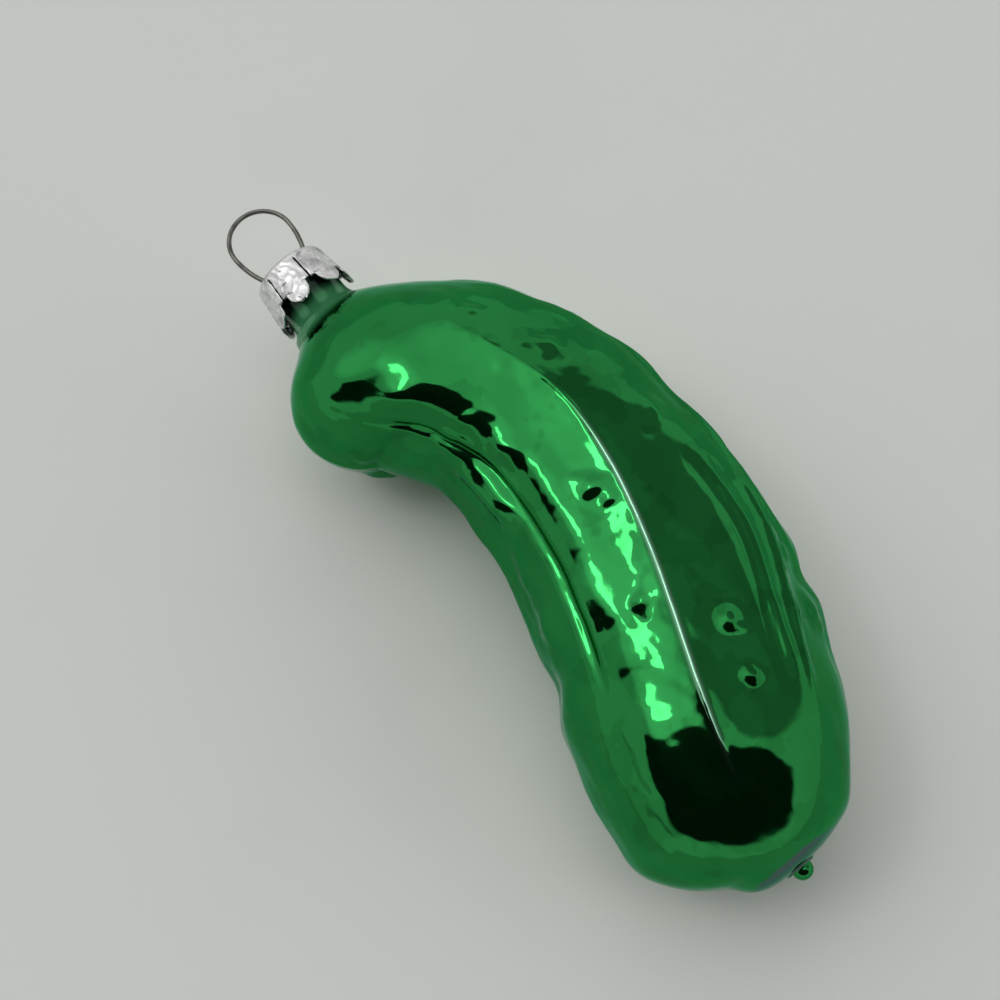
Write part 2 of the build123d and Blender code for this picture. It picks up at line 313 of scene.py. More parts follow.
def waves(points, shortest, longest, count, seed):
    """Smooth noise of about unit size: a sum of plane waves in random directions, lengths and phases."""
    draw = np.random.default_rng(seed)
    direction = draw.normal(size=(count, 3))
    direction /= np.linalg.norm(direction, axis=1, keepdims=True)
    wave_length = draw.uniform(shortest, longest, count)
    phase = draw.uniform(0, 2 * np.pi, count)
    swing = np.tensordot(points, (2 * np.pi * direction / wave_length[:, None]).T, axes=1) + phase
    return np.sin(swing).sum(axis=-1) * np.sqrt(2 / count)


def grid_corners(rows, columns, closed):
    """Corners of the faces of a grid, four to a face; a closed grid joins its last column to its first."""
    index = np.arange(rows * columns).reshape(rows, columns)
    if closed:
        index = np.concatenate([index, index[:, :1]], axis=1)
    return np.stack([index[:-1, :-1], index[:-1, 1:], index[1:, 1:], index[1:, :-1]], axis=-1).reshape(-1, 4)


def add_piece(name, grids, closed):
    """Mesh object from grids of points (rows, columns, xyz), welded where they meet, faces outwards."""
    points, corners, first = [], [], 0
    for grid in grids:
        rows, columns = grid.shape[:2]
        points.append(grid.reshape(-1, 3))
        corners.append(grid_corners(rows, columns, closed) + first)
        first += rows * columns
    points, corners = np.concatenate(points), np.concatenate(corners)
    mesh = bpy.data.meshes.new(name)
    mesh.vertices.add(len(points))
    mesh.vertices.foreach_set("co", points.astype(np.float32).ravel())
    mesh.loops.add(corners.size)
    mesh.loops.foreach_set("vertex_index", corners.astype(np.int32).ravel())
    mesh.polygons.add(len(corners))
    mesh.polygons.foreach_set("loop_start", np.arange(0, corners.size, 4, dtype=np.int32))
    mesh.update(calc_edges=True)
    work = bmesh.new()
    work.from_mesh(mesh)
    bmesh.ops.remove_doubles(work, verts=work.verts, dist=0.001 * MM)
    bmesh.ops.dissolve_degenerate(work, edges=work.edges, dist=0.001 * MM)
    bmesh.ops.recalc_face_normals(work, faces=work.faces)
    work.to_mesh(mesh)
    work.free()
    mesh.polygons.foreach_set("use_smooth", np.ones(len(mesh.polygons), bool))
    piece = bpy.data.objects.new(name, mesh)
    bpy.context.scene.collection.objects.link(piece)
    return piece


def mesh_points(piece):
    """Vertex places of a piece as an array."""
    places = np.empty(len(piece.data.vertices) * 3, np.float32)
    piece.data.vertices.foreach_get("co", places)
    return places.reshape(-1, 3).astype(float)


def add_attribute(piece, name, values):
    """Stores one number per vertex."""
    attribute = piece.data.attributes.new(name, "FLOAT", "POINT")
    attribute.data.foreach_set("value", values.astype(np.float32))


class Signal:
    """Output socket of a node tree. Arithmetic on signals adds Math nodes."""

    def __init__(self, tree, socket=None):
        self.tree = tree
        self.socket = socket

    def node(self, kind, settings=None, inputs=None, output=0):
        """Adds a node of a type: its settings first, then the values or links of its sockets."""
        node = self.tree.nodes.new(kind)
        for key, value in (settings or {}).items():
            setattr(node, key, value)
        for key, value in (inputs or {}).items():
            if isinstance(value, Signal):
                self.tree.links.new(value.socket, node.inputs[key])
            else:
                node.inputs[key].default_value = value
        return Signal(self.tree, node.outputs[output] if node.outputs else None)

    def math(self, operation, first, second=0.0):
        return self.node("ShaderNodeMath", {"operation": operation}, {0: first, 1: second})

    def __add__(self, other):
        return self.math("ADD", self, other)

    __radd__ = __add__

    def __mul__(self, other):
        return self.math("MULTIPLY", self, other)

    __rmul__ = __mul__

    def __sub__(self, other):
        return self.math("SUBTRACT", self, other)

    def __rsub__(self, other):
        return self.math("SUBTRACT", other, self)

    def step(self, low, high):
        """0 below low and 1 above high, with a smooth rise between."""
        settings = {"interpolation_type": "SMOOTHSTEP"}
        return self.node("ShaderNodeMapRange", settings, {"Value": self, "From Min": low, "From Max": high})

    def blend(self, first, second):
        """Colour that goes from first to second as this signal goes from 0 to 1."""
        inputs = {0: self, 6: first, 7: second}
        return self.node("ShaderNodeMix", {"data_type": "RGBA"}, inputs, output=2)


def rgba(shade):
    """Colour with full opacity."""
    return (*shade, 1.0)


def new_material(name):
    """Empty node material and the signal that starts its tree."""
    material = bpy.data.materials.new(name)
    material.use_nodes = True
    material.node_tree.nodes.clear()
    return material, Signal(material.node_tree)


def finish_material(start, inputs):
    """Ends a tree in a Principled shader with these inputs."""
    shader = start.node("ShaderNodeBsdfPrincipled", None, inputs)
    start.node("ShaderNodeOutputMaterial", None, {"Surface": shader})


def noise(start, place, scale, detail=2.0):
    """Noise value at a place, with scale patches to the metre."""
    return start.node("ShaderNodeTexNoise", None, {"Vector": place, "Scale": scale, "Detail": detail})


def half_size(glass, along, head, waist, tail):
    """Half a width or depth along the body: domes at both ends, eased runs from head to waist to tail."""
    head_place = glass.neck_length + glass.shoulder_length
    waist_place = head_place + glass.waist_run
    tail_place = waist_place + glass.tail_run
    body_end = tail_place + glass.tail_dome
    start = (along - glass.neck_length) / glass.shoulder_length
    return np.select(
        [along < head_place, along < waist_place, along < tail_place],
        [
            head / 2 * shoulder(start, 2 * glass.neck_radius / head, glass.shoulder_fullness),
            (head + (waist - head) * ease((along - head_place) / glass.waist_run)) / 2,
            (waist + (tail - waist) * ease((along - waist_place) / glass.tail_run)) / 2,
        ],
        tail / 2 * dome((body_end - along) / glass.tail_dome, 2 * glass.tip_ring_radius / tail),
    )


def centre_line(glass, along):
    """Distance of the body's centre line from the blow axis: a raised cosine on both sides of the bend."""
    bend_place = glass.neck_length + glass.bend_rise
    reach = np.where(along < bend_place, glass.bend_rise, glass.bend_fall)
    return glass.bend * ease(1 - np.abs(along - bend_place) / reach)


def body_point(glass, along, around):
    """Place on the even body, off the blow axis: an ellipse about the centre line."""
    half_width = half_size(glass, along, glass.head_width, glass.waist_width, glass.tail_width)
    half_depth = half_size(glass, along, glass.depth, glass.depth, glass.depth)
    across = centre_line(glass, along) + half_width * np.cos(around)
    return np.stack([along + 0 * around, across, half_depth * np.sin(around)], axis=-1)


def crest_angles(along):
    """Angle of each rib's crest, with one more column that repeats the first a full turn on."""
    even = RIB_START + RIB_TWIST * along[:, None] + 2 * np.pi * np.arange(RIB_COUNT) / RIB_COUNT
    phase = RIB_SWAY_PHASE * np.arange(RIB_COUNT) ** 2
    crests = even + RIB_SWAY * np.sin(along[:, None] * 2 * np.pi / RIB_SWAY_LENGTH + phase)
    crests[:, 0] = wander(TOP_RIB, along)
    crests[:, 1] = wander(LEFT_RIB, along)
    crests[:, -1] = wander(RIGHT_RIB, along) + 2 * np.pi
    return np.concatenate([crests, crests[:, :1] + 2 * np.pi], axis=1)


def rib_columns(along):
    """Angle and place within its rib, 0 to 1, of each grid column, crowded towards the crests."""
    crests = crest_angles(along)
    even = np.arange(COLUMNS_PER_RIB) / COLUMNS_PER_RIB
    share = even - CREST_CROWDING * np.sin(2 * np.pi * even) / (2 * np.pi)
    gaps = np.diff(crests, axis=1)
    around = crests[:, :-1, None] + gaps[:, :, None] * share
    strengths = RIB_STRENGTHS[:, None] + (np.roll(RIB_STRENGTHS, -1) - RIB_STRENGTHS)[:, None] * ease(share)
    return around.reshape(len(along), -1), np.tile(share, RIB_COUNT), strengths.ravel(), crests


def mark_places(points):
    """Lengths along the body and angles around it, from a list in millimetres and degrees."""
    along, degrees = np.array(points, float).T
    return along * MM, np.radians(degrees)


def wart_relief(glass, base, places, height, spread, uneven):
    """Height of some warts: bells stretched one way, with uneven edges and a shallow moat around each."""
    draw = np.random.default_rng(13)
    along, around = mark_places(places)
    centres = body_point(glass, along, around)
    sideways = np.stack([0 * around, -np.sin(around), np.cos(around)], axis=-1)
    lean = draw.uniform(0, np.pi, len(places))[:, None]
    long_ways = np.cos(lean) * [1, 0, 0] + np.sin(lean) * sideways
    sizes = draw.uniform(1 - uneven, 1 + uneven, len(places))
    wobble = uneven * MM * waves(base, 2 * MM, 4 * MM, 30, seed=14)
    relief = np.zeros(base.shape[:2])
    for centre, long_way, size in zip(centres, long_ways, sizes):
        offset = base - centre
        squeezed = (offset**2).sum(axis=-1) - 2 * uneven * (offset @ long_way) ** 2
        distance = (np.sqrt(squeezed) + wobble) / (size * spread)
        relief += height * size * (hump(distance, 1.0) - MOAT_DEPTH * hump(distance - MOAT_PLACE, MOAT_WIDTH))
    return relief


def surface_relief(glass, along, base):
    """Height of the moulded and blown detail over the even body, in the grid's columns."""
    around, share, strengths, crests = rib_columns(along)
    place = along[:, None]
    radius = glass.depth / 2
    valley = np.sqrt(np.sin(np.pi * share) ** 2 + CREST_ROUNDING**2)
    relief = glass.rib_height * strengths * (1 - 2 * valley) * window(place, *RIB_SPAN)

    def arc(angles):
        """Distance around the body from a line of angles, the short way."""
        turn = (around - angles[:, None] + np.pi) % (2 * np.pi) - np.pi
        return radius * turn

    top = arc(crests[:, 0])
    relief += glass.seam_height * hump(top, glass.seam_width) * window(place, *SEAM_SPAN)
    left = arc(crests[:, 1])
    lips = hump(np.abs(left) - glass.groove_lip, glass.groove_width)
    groove = 0.4 * lips - hump(left, glass.groove_width)
    relief += glass.groove_depth * groove * window(place, *GROOVE_SPAN)
    reach = ease((place - SHOULDER_START) / SHOULDER_RISE) * ease((SHOULDER_END - place) / SHOULDER_FALL)
    relief += glass.shoulder_height * reach * hump(arc(wander(SHOULDER, along)), glass.shoulder_width)
    right = arc(crests[:, RIB_COUNT - 1])
    relief += glass.fold_height * hump(right, glass.fold_width) * window(place, *RIGHT_RIB_SPAN)
    for points in RIGHT_FOLDS:
        line = arc(wander(points, along))
        fold = hump(line, glass.fold_width) - 0.8 * hump(line - 2 * glass.fold_width, glass.fold_width)
        relief += glass.fold_height * fold * window(place, points[0][0], points[-1][0], FOLD_FADING)
    line = arc(wander(ALMOND, along))
    hollow = hump(np.abs(line) - 2 * glass.almond_width, glass.almond_width / 1.5)
    almond = hump(line, glass.almond_width) - 0.4 * hollow
    relief += glass.almond_height * almond * window(place, ALMOND[0][0], ALMOND[-1][0], ALMOND_FADING)

    for places, height, spread, uneven in (
        (TOP_WARTS, glass.top_wart, glass.top_wart_spread, 0.25),
        (TALL_WARTS, glass.tall_wart, glass.tall_wart_spread, 0.2),
        (FLANK_WARTS, glass.flank_wart, glass.flank_wart_spread, 0.25),
        (RESTING_WARTS, glass.resting_wart, glass.flank_wart_spread, 0.0),
    ):
        relief += wart_relief(glass, base, places, height, spread, uneven)
    for setting, squeeze, shortest, longest, count, seed in UNEVENNESS:
        drawn = base * [squeeze, 1, 1]
        relief += getattr(glass, setting) * waves(drawn, shortest * MM, longest * MM, count, seed)
    fullness = half_size(glass, along, glass.depth, glass.depth, glass.depth) / radius
    relief *= fullness[:, None] ** 2
    for centre, turn, height, run, spread in SWELLS:
        line = arc(np.full(len(along), np.radians(turn))) / radius
        swell = hump(place - centre * MM, run * MM) * hump(line, np.radians(spread))
        relief += height * MM * swell * ease((along.max() - place) / SWELL_FADING)
    return relief


def arc_points(centre, radius, start, end, count):
    """Points on an arc in (along, radius) terms, from angle to angle, in degrees from the tip's direction."""
    turn = np.radians(np.linspace(start, end, count))
    return np.stack([centre[0] + radius * np.cos(turn), centre[1] + radius * np.sin(turn)], axis=-1)


def glass_grid(glass):
    """Grid of the whole skin, from the drop on the tip over the body to the mouth and back inside."""
    head_place = glass.neck_length + glass.shoulder_length
    tail_place = head_place + glass.waist_run + glass.tail_run
    body_end = tail_place + glass.tail_dome
    tail_rows, run_rows, head_rows, inner_rows = 82, 168, 56, 14
    ring = 0.32 * MM
    slope_step = 0.1 * MM
    bead_place = glass_length - glass.tip_bead_radius
    tip = np.concatenate([
        arc_points((bead_place, 0), glass.tip_bead_radius, 0, 98, 11),
        arc_points((body_end, glass.tip_ring_radius - ring), ring, -40, 80, 6),
    ])
    quarter = np.linspace(0.02, 1, tail_rows)
    tail = body_end - glass.tail_dome * (1 - np.cos(quarter * np.pi / 2))
    run = np.linspace(tail_place, head_place, run_rows)[1:-1]
    quarter = np.linspace(1, 0.2, head_rows)
    head = glass.neck_length + glass.shoulder_length * (1 - np.cos(quarter * np.pi / 2))
    body = np.concatenate([tail, run, head])
    edge_places = body[-1] + np.array([0, slope_step])
    edge = half_size(glass, edge_places, glass.depth, glass.depth, glass.depth)
    flare_turn = np.arctan2(edge[1] - edge[0], slope_step)
    flare = (edge[0] - glass.neck_radius) / (1 - np.cos(flare_turn))
    flare_centre = (body[-1] - flare * np.sin(flare_turn), glass.neck_radius + flare)
    lip = glass.neck_wall / 2
    bore = glass.neck_radius - glass.neck_wall
    neck = np.concatenate([
        arc_points(flare_centre, flare, np.degrees(flare_turn) - 90, -90, 8)[1:],
        np.stack([np.linspace(flare_centre[0], lip, 8)[1:-1], np.full(6, glass.neck_radius)], axis=-1),
        arc_points((lip, glass.neck_radius - lip), lip, 90, 270, 9),
        np.stack([np.linspace(lip, glass.neck_length, 5)[1:], np.full(4, bore)], axis=-1),
    ])
    inner = np.linspace(glass.neck_length + 2.5 * MM, body_end - 2 * MM, inner_rows)

    around = rib_columns(body)[0]
    base = body_point(glass, body[:, None], around)
    down_rows = np.gradient(base, axis=0)
    across_columns = np.roll(base, -1, axis=1) - np.roll(base, 1, axis=1)
    outward = np.cross(down_rows, across_columns)
    outward /= np.linalg.norm(outward, axis=-1, keepdims=True)
    outer = base + outward * surface_relief(glass, body, base)[..., None]

    def rings(profile, turn):
        """Circles about the blow axis, in step with a row of column angles."""
        place = np.repeat(profile[:, :1], len(turn), axis=1)
        return np.stack([place, profile[:, 1:] * np.cos(turn), profile[:, 1:] * np.sin(turn)], axis=-1)

    middle = np.stack([inner, centre_line(glass, inner), 0 * inner], axis=-1)[:, None]
    hollow = body_point(glass, inner[:, None], np.repeat(around[-1:], len(inner), axis=0))
    spoke = hollow - middle
    reach = np.linalg.norm(spoke, axis=-1, keepdims=True)
    hollow = middle + spoke * np.clip(1 - glass.wall / reach, 0.2, 1)
    poles = [np.repeat(rows[edge:edge + 1].mean(axis=1, keepdims=True), around.shape[1], axis=1)
             for rows, edge in ((rings(tip, around[0]), 0), (hollow, len(inner) - 1))]
    rows = [poles[0], rings(tip[1:], around[0]), outer, rings(neck, around[-1]), hollow, poles[1]]
    return np.concatenate(rows) + mouth


def lacquered_glass(glass):
    """Silvered glass under green lacquer: a tinted mirror, burnt grey at the tip and bare at the neck, with a
    highlight painted pale along the seam and shade painted near-black on the neck under the cap.
    """
    material, start = new_material("lacquered_glass")
    place = start.node("ShaderNodeTexCoord", output=3)
    bare = start.node("ShaderNodeAttribute", {"attribute_name": "unsilvered"}, output=2)
    burnt = start.node("ShaderNodeAttribute", {"attribute_name": "burnt"}, output=2)
    worn = start.node("ShaderNodeAttribute", {"attribute_name": "worn"}, output=2)
    sooty = start.node("ShaderNodeAttribute", {"attribute_name": "sooty"}, output=2)
    cloud = noise(start, place, 90.0).step(0.35, 0.65)
    blot = noise(start, place, 150.0, 3.0).step(0.54, 0.57)
    green = (0.5 * cloud + 0.5 * blot).blend(rgba(glass.lacquer), rgba(glass.deep_lacquer))
    fray = noise(start, place, 700.0)
    burnt_edge = (burnt + (fray - 0.5) * 0.5).step(0.35, 0.65)
    tint = burnt_edge.blend(green, rgba(glass.burnt_silver))
    # Painted highlight: pale green along the seam crest stands in for the light it catches
    tint = worn.blend(tint, rgba(glass.worn_lacquer))
    tint = bare.blend(tint, rgba(glass.neck_lacquer))
    # Painted shade: near-black on the neck under the cap's petals
    tint = sooty.blend(tint, rgba(glass.neck_soot))
    patch = noise(start, place, 130.0).step(0.52, 0.68)
    speckle = noise(start, place, 1500.0, 3.0)
    height = (speckle - 0.5) * patch
    bump = start.node("ShaderNodeBump", None, {"Strength": 0.35, "Distance": 0.02 * MM, "Height": height})
    finish_material(start, {
        "Base Color": tint,
        "Metallic": 1.0 - bare * 0.75,
        "Roughness": 0.06 + 0.05 * patch + 0.2 * bare,
        "Specular Tint": rgba(glass.edge_tint),
        "Coat Weight": 0.2,
        "Coat Roughness": 0.02,
        "Normal": bump,
    })
    return material


def cap_grids(cap):
    """Crown as two half discs around the wire holes, and a skirt of petals joined above the slits."""
    petals, half_columns, disc_rows = 7, 12, 12
    flare_power = 1.15
    half_pitch = np.pi / petals
    steps = 2 * half_columns
    top = cap_low.x - mouth[0]
    end = cap_high.x - mouth[0]
    edge_centre = (top + cap.edge_radius, cap.crown_radius - cap.edge_radius)
    edge = arc_points(edge_centre, cap.edge_radius, 180, 90, 8)
    tongue_half = cap.tongue_width / 2
    round_start = end - tongue_half
    bow = np.radians(np.linspace(0, 90, 9))
    skirt_place = np.concatenate([
        [cap.slit_start],
        np.linspace(cap.slit_start + 0.1 * MM, cap.tongue_start, 22),
        np.linspace(cap.tongue_start + 0.05 * MM, round_start, 6),
        round_start + tongue_half * np.sin(bow)[1:],
    ])
    flare = np.clip((skirt_place - edge[-1, 0]) / (end - edge[-1, 0]), 0, 1) ** flare_power
    skirt_radius = cap.crown_radius + (cap.petal_end_radius - cap.crown_radius) * flare
    skirt = np.stack([skirt_place, skirt_radius], axis=-1)
    profile = np.concatenate([edge, skirt])
    radius = profile[:, 1]
    whole = np.arange(len(profile)) <= len(edge)
    slit = radius * half_pitch - cap.slit_width / 2
    tongue = np.where(
        profile[:, 0] > round_start,
        np.sqrt(np.clip(tongue_half**2 - (profile[:, 0] - round_start) ** 2, 0, None)),
        tongue_half,
    )
    half_width = np.where(profile[:, 0] > cap.tongue_start, tongue, slit)
    half_angle = np.where(whole, half_pitch, half_width / radius)

    draw = np.random.default_rng(5)
    lift = draw.uniform(-0.2, 1.0, petals) * cap.flare_spread
    middle = cap.petal_angle + 2 * half_pitch * np.arange(petals)
    share = np.linspace(-1, 1, steps + 1)
    turn = middle[:, None, None] + half_angle[:, None] * share
    shape = turn.shape
    bent = np.concatenate([np.zeros(len(edge)), flare**2])
    reach = np.broadcast_to(radius[:, None] + lift[:, None, None] * bent[:, None], shape)
    place = np.broadcast_to(profile[:, :1], shape)
    strips = np.stack([place, reach * np.cos(turn), reach * np.sin(turn)], axis=-1)
    dents = 1 - 2 * np.abs(waves(strips, 1.1 * MM, 2.6 * MM, 30, seed=21)).clip(0, 1)
    hold = np.concatenate([np.linspace(0, 1, len(edge)) ** 2, np.ones(len(skirt))])
    reach = reach + cap.crinkle * dents * hold[:, None]
    strips = np.stack([place, reach * np.cos(turn), reach * np.sin(turn)], axis=-1)

    rim_count = petals * steps
    first = np.round((-np.pi / 2 - cap.petal_angle + half_pitch) / (2 * np.pi / rim_count))
    rim_turn = cap.petal_angle - half_pitch + (first + np.arange(rim_count + 1)) * 2 * np.pi / rim_count
    rim = np.stack([np.cos(rim_turn), np.sin(rim_turn)], axis=-1) * edge[0, 1]
    chord = np.linspace(rim[rim_count // 2], rim[0], 44)[1:]
    halves = [
        (cap.hole_offset, np.concatenate([rim[:rim_count // 2 + 1], chord])),
        (-cap.hole_offset, np.concatenate([rim[rim_count // 2:], chord[-2::-1], rim[rim_count // 2:][:1]])),
    ]
    grids = list(strips)
    for offset, border in halves:
        hole = np.array([offset, 0.0])
        spoke = border - hole
        start = hole + cap.hole_radius * spoke / np.linalg.norm(spoke, axis=1, keepdims=True)
        outwards = np.linspace(0, 1, disc_rows)
        rows = start + outwards[:, None, None] * (border - start)
        calm = 4 * (outwards * outwards[::-1])[:, None]
        disc = np.concatenate([np.full((*rows.shape[:2], 1), top), rows], axis=-1)
        disc[..., 0] += 0.6 * cap.crinkle * calm * waves(disc, 1.2 * MM, 2.6 * MM, 24, seed=22)
        grids.append(disc)
    return [grid + mouth for grid in grids]


def cap_metal(cap):
    """Thin silvery sheet with a fine grain and dull stains in patches."""
    material, start = new_material("cap_metal")
    place = start.node("ShaderNodeTexCoord", output=3)
    stain = noise(start, place, 420.0, 4.0).step(0.45, 0.75)
    grain = noise(start, place, 2600.0, 3.0)
    dull = tuple(0.55 * shade for shade in cap.metal)
    bump = start.node("ShaderNodeBump", None, {"Strength": 0.3, "Distance": 0.03 * MM, "Height": grain})
    finish_material(start, {
        "Base Color": stain.blend(rgba(cap.metal), rgba(dull)),
        "Metallic": 1.0,
        "Roughness": 0.2 + 0.18 * stain + 0.1 * grain,
        "Normal": bump,
    })
    return material


def bent_path(stretches):
    """Plane path of stretches (length, turn, steps): headings add up the turns, places add up the chords."""
    step_length = np.concatenate([np.full(count, span / count) for span, turn, count in stretches])
    step_turn = np.concatenate([np.full(count, turn / count) for span, turn, count in stretches])
    heading = np.cumsum(step_turn) - step_turn / 2
    chord = step_length * np.sinc(step_turn / 2 / np.pi)
    steps = chord[:, None] * np.stack([np.cos(heading), np.sin(heading)], axis=-1)
    path = np.concatenate([np.zeros((1, 2)), np.cumsum(steps, axis=0)])
    edges = np.concatenate([[0.0], np.cumsum(step_turn)])
    return path, edges


def hanger_grid(hanger):
    """Round wire along legs, feet and loop, with a half ball at each end."""
    top = cap_low.x - mouth[0]
    foot_place = hanger_hinge["pos_m"][0] - mouth[0]
    rise = foot_place - top + hanger.loop_height
    slope = 2 * np.arctan2(hanger.loop_radius - hanger.foot_offset, rise)
    side_radius = (hanger.loop_radius - hanger.foot_offset) / (1 - np.cos(slope))
    spread, bend = hanger.leg_spread, hanger.leg_bend_radius
    leg_top = foot_place + bend * (np.sin(slope) + np.sin(spread))
    leg_top_offset = hanger.foot_offset + bend * (np.cos(slope) - np.cos(spread))
    leg_end = top + hanger.leg_length
    leg = (leg_end - leg_top) / np.cos(spread)
    half = [
        (leg, 0.0, 8),
        (bend * (slope + spread), slope + spread, 10),
        (side_radius * slope, -slope, 24),
    ]
    loop = (hanger.loop_radius * np.pi, -np.pi, 72)
    path, heading = bent_path([*half, loop, *half[::-1]])
    start_heading = np.pi - spread
    cosine, sine = np.cos(start_heading), np.sin(start_heading)
    turn = np.array([[cosine, -sine], [sine, cosine]])
    path = path @ turn.T + [leg_end, -leg_top_offset - leg * np.sin(spread)]
    heading = heading + start_heading
    ahead = np.stack([np.cos(heading), np.sin(heading)], axis=-1)
    aside = np.stack([-np.sin(heading), np.cos(heading)], axis=-1)

    wire = hanger.wire_diameter / 2
    sides, ball_rows, last = 20, 6, len(path) - 1
    bow = np.radians(np.linspace(90, 0, ball_rows))
    wide = np.concatenate([wire * np.cos(bow), np.full(last - 1, wire), wire * np.cos(bow[::-1])])
    push = np.concatenate([-wire * np.sin(bow), np.zeros(last - 1), wire * np.sin(bow[::-1])])
    row = np.concatenate([np.zeros(ball_rows, int), np.arange(1, last), np.full(ball_rows, last)])
    middle = path[row] + push[:, None] * ahead[row]
    spin = np.linspace(0, 2 * np.pi, sides, endpoint=False)
    flat = middle[:, None] + wide[:, None, None] * np.cos(spin)[:, None] * aside[row][:, None]
    lift = wide[:, None] * np.sin(spin)
    return np.concatenate([flat, lift[..., None]], axis=-1) + mouth


def wire_steel(hanger):
    """Drawn steel wire, dulled in patches."""
    material, start = new_material("wire_steel")
    place = start.node("ShaderNodeTexCoord", output=3)
    stain = noise(start, place, 500.0, 3.0).step(0.4, 0.7)
    dark = tuple(0.5 * shade for shade in hanger.steel)
    finish_material(start, {
        "Base Color": stain.blend(rgba(hanger.steel), rgba(dark)),
        "Metallic": 1.0,
        "Roughness": 0.3 + 0.15 * stain,
    })
    return material


def floor_paint(stage):
    """Pale matt board with faint smudges."""
    material, start = new_material("floor_paint")
    place = start.node("ShaderNodeTexCoord", output=3)
    smudge = noise(start, place, 16.0, 5.0).step(0.5, 0.8)
    shade = tuple(0.95 * value for value in stage.floor)
    finish_material(start, {
        "Base Color": smudge.blend(rgba(stage.floor), rgba(shade)),
        "Roughness": 0.6,
        "Specular IOR Level": 0.2,
    })
    return material


def direction(azimuth, elevation):
    """Unit vector towards an azimuth, where 0 lies at -Y and 90 at +X, and an elevation."""
    level = np.cos(elevation)
    return np.array([np.sin(azimuth) * level, -np.cos(azimuth) * level, np.sin(elevation)])


def dress(piece, material, body, node):
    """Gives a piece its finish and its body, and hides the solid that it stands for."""
    piece.data.materials.append(material)
    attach(piece, body)
    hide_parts(node)


class PICKLE_OT_glass(bpy.types.Operator):
    """Builds the silvered glass body"""

    bl_idname = "pickle.glass"
    bl_label = "Glass Body"

    def execute(self, context):
        glass = context.scene.pickle_glass
        piece = add_piece("pickle_glass", [glass_grid(glass)], closed=True)
        place = mesh_points(piece) - mouth
        body_end = glass_length - 2 * MM
        along = place[:, 0]
        off_axis = np.linalg.norm(place[:, 1:], axis=1)
        near_tip = np.linalg.norm(place - [body_end, 0, 0], axis=1)
        before_bead = along < body_end + 0.3 * MM
        burnt = ease((glass.burnt_reach - near_tip) / glass.burnt_fading) * before_bead
        add_attribute(piece, "burnt", burnt)
        neck = ease((glass.neck_length + glass.bare_reach - along) / glass.bare_fading)
        inwards = ease((glass.neck_radius + glass.bare_reach - off_axis) / (3 * MM))
        add_attribute(piece, "unsilvered", neck * inwards)
        half_width = half_size(glass, along, glass.head_width, glass.waist_width, glass.tail_width)
        half_depth = half_size(glass, along, glass.depth, glass.depth, glass.depth)
        across = (place[:, 1] - centre_line(glass, along)) / half_width
        around = np.arctan2(place[:, 2] / half_depth, across)
        off_seam = (around - wander(TOP_RIB, along)) * glass.depth / 2
        # Mask of the painted highlight: pale green along the seam crest
        seam = hump(off_seam, glass.pale_seam_width) * window(along, *PALE_SEAM_SPAN)
        add_attribute(piece, "worn", seam)
        # Mask of the painted shade on the neck under the cap
        add_attribute(piece, "sooty", ease((glass.soot_end - along) / glass.soot_fading))
        dress(piece, lacquered_glass(glass), "glass", "glass_body")
        return {"FINISHED"}


class PICKLE_OT_cap(bpy.types.Operator):
    """Builds the petalled metal cap"""

    bl_idname = "pickle.cap"
    bl_label = "Cap"

    def execute(self, context):
        cap = context.scene.pickle_cap
        piece = add_piece("pickle_cap", cap_grids(cap), closed=False)
        wall = piece.modifiers.new("sheet", "SOLIDIFY")
        wall.thickness = cap.sheet
        wall.offset = -1.0
        dress(piece, cap_metal(cap), "cap", "cap")
        return {"FINISHED"}


class PICKLE_OT_hanger(bpy.types.Operator):
    """Builds the wire hanger"""

    bl_idname = "pickle.hanger"
    bl_label = "Hanger"

    def execute(self, context):
        hanger = context.scene.pickle_hanger
        piece = add_piece("pickle_hanger", [hanger_grid(hanger)], closed=True)
        dress(piece, wire_steel(hanger), "hanger", "hanger")
        return {"FINISHED"}


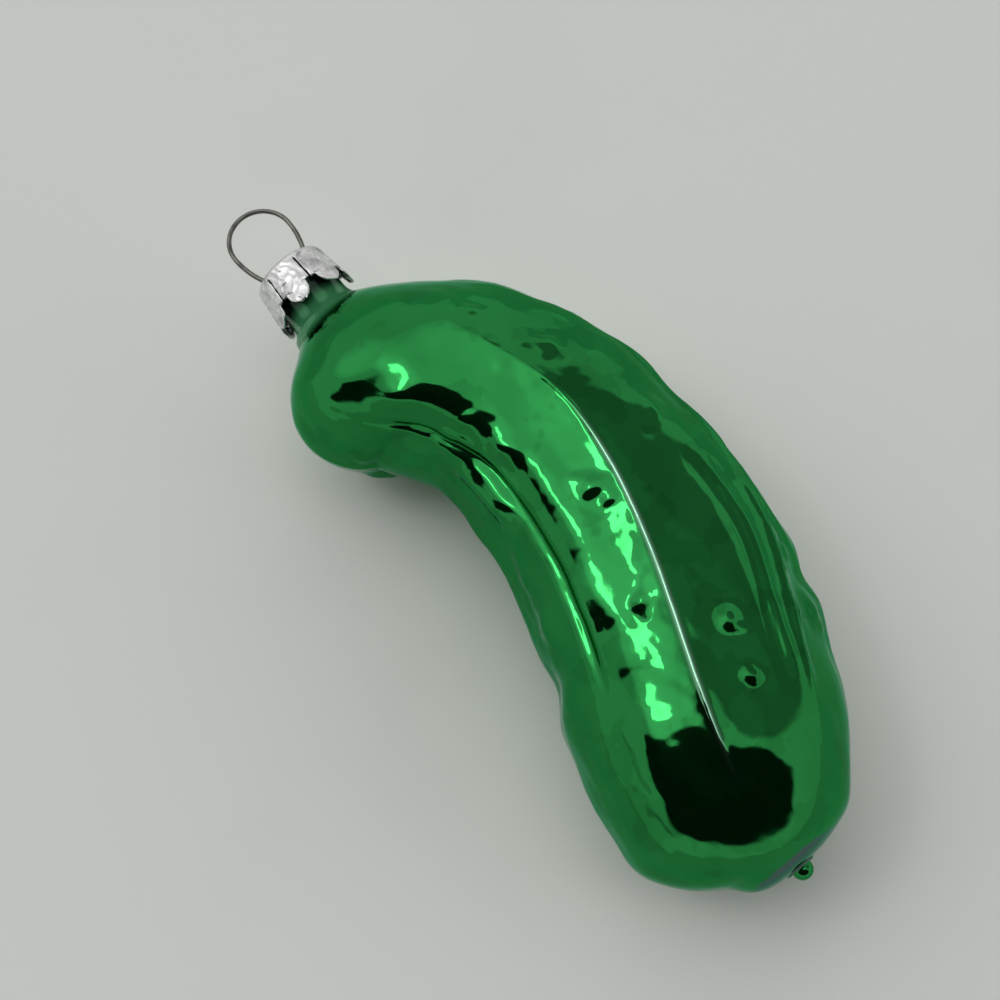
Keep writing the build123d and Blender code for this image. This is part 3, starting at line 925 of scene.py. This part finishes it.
class PICKLE_OT_stage(bpy.types.Operator):
    """Builds the floor, the light and the camera"""

    bl_idname = "pickle.stage"
    bl_label = "Stage"

    def execute(self, context):
        stage = context.scene.pickle_stage
        context.scene.view_settings.view_transform = "Standard"
        line = np.linspace(-0.5, 0.5, 3) * stage.floor_size
        square = np.stack([*np.meshgrid(line, line, indexing="ij"), np.zeros((3, 3))], axis=-1)
        floor = add_piece("floor", [square], closed=False)
        floor.data.materials.append(floor_paint(stage))
        self.light(context.scene, stage)
        self.camera(context.scene, stage)
        return {"FINISHED"}

    def light(self, scene, stage):
        """Room of soft tones around the ornament, with a softbox above it."""
        world = bpy.data.worlds.new("studio")
        world.use_nodes = True
        world.node_tree.nodes.clear()
        scene.world = world
        start = Signal(world.node_tree)
        ray = start.node("ShaderNodeTexCoord")

        def towards(aim, inner, outer):
            """1 within the angle inner of a direction, 0 beyond outer."""
            unit = np.array(aim) / np.linalg.norm(aim)
            settings = {"operation": "DOT_PRODUCT"}
            cosine = start.node("ShaderNodeVectorMath", settings, {0: ray, 1: tuple(unit)}, output=1)
            return cosine.step(float(np.cos(np.radians(outer))), float(np.cos(np.radians(inner))))

        box_aim = Vector((-0.3, -0.36, 0.88)).normalized()
        ceiling = towards((0, 0, 1), 40, 46)
        overhead = towards((-0.15, -0.2, 0.97), 12, 36)
        halo = towards(box_aim, 5, 20)
        side_panel = towards((-0.66, -0.38, 0.64), 8, 22)
        dim_panel = towards((0.04, 0.72, 0.69), 24, 30)
        flag = towards(CAMERA_SIDE, 77, 80) * towards((0, 0, 1), 73, 78)
        flag = flag * towards(TAIL_SIDE, 146, 150) * (1 - towards(TAIL_SIDE, 33, 37))
        bright = 1 + 0.2 * ceiling + 0.4 * overhead + 0.5 * halo + 0.5 * side_panel
        glow = stage.room * bright * (1 - 0.6 * dim_panel) * (1 - 0.97 * flag)
        back = start.node("ShaderNodeBackground", None, {"Color": (1.0, 1.0, 0.985, 1.0), "Strength": glow})
        start.node("ShaderNodeOutputWorld", None, {"Surface": back})

        box = bpy.data.lights.new("softbox", "AREA")
        box.shape = "RECTANGLE"
        box.size, box.size_y = 0.2, 0.1
        box.energy = stage.box_glow * np.pi * box.size * box.size_y
        lamp = bpy.data.objects.new("softbox", box)
        lamp.location = box_aim * 1.0
        lamp.rotation_mode = "QUATERNION"
        lamp.rotation_quaternion = box_aim.to_track_quat("Z", "Y")
        scene.collection.objects.link(lamp)

    def camera(self, scene, stage):
        """Camera that looks down on the ornament past its tail."""
        lens = bpy.data.cameras.new("camera")
        lens.angle = stage.camera_angle
        camera = bpy.data.objects.new("camera", lens)
        back = Vector(direction(stage.camera_turn, stage.camera_rise))
        target = Vector(mouth + CAMERA_TARGET)
        camera.location = target + back * stage.camera_distance
        camera.rotation_mode = "QUATERNION"
        camera.rotation_quaternion = back.to_track_quat("Z", "Y")
        lens.clip_start = 0.01
        scene.collection.objects.link(camera)
        scene.camera = camera


class PICKLE_PT_sidebar(bpy.types.Panel):
    """Lists the builders and their settings"""

    bl_idname = "PICKLE_PT_sidebar"
    bl_label = "Pickle Ornament"
    bl_space_type = "VIEW_3D"
    bl_region_type = "UI"
    bl_category = "Pickle"

    def draw(self, context):
        for operator, group in BUILDERS:
            box = self.layout.box()
            box.operator(operator.bl_idname)
            settings = getattr(context.scene, group)
            for name in settings.__annotations__:
                box.prop(settings, name)


GROUPS = {
    "pickle_glass": GlassSettings,
    "pickle_cap": CapSettings,
    "pickle_hanger": HangerSettings,
    "pickle_stage": StageSettings,
}
BUILDERS = [
    (PICKLE_OT_glass, "pickle_glass"),
    (PICKLE_OT_cap, "pickle_cap"),
    (PICKLE_OT_hanger, "pickle_hanger"),
    (PICKLE_OT_stage, "pickle_stage"),
]
CLASSES = [*GROUPS.values(), *(operator for operator, group in BUILDERS), PICKLE_PT_sidebar]


def register():
    for item in CLASSES:
        bpy.utils.register_class(item)
    for name, group in GROUPS.items():
        setattr(bpy.types.Scene, name, PointerProperty(type=group))


def unregister():
    for name in GROUPS:
        delattr(bpy.types.Scene, name)
    for item in reversed(CLASSES):
        bpy.utils.unregister_class(item)


def main():
    register()
    bpy.ops.pickle.glass()
    bpy.ops.pickle.cap()
    bpy.ops.pickle.hanger()
    bpy.ops.pickle.stage()


if __name__ == "__main__":
    main()
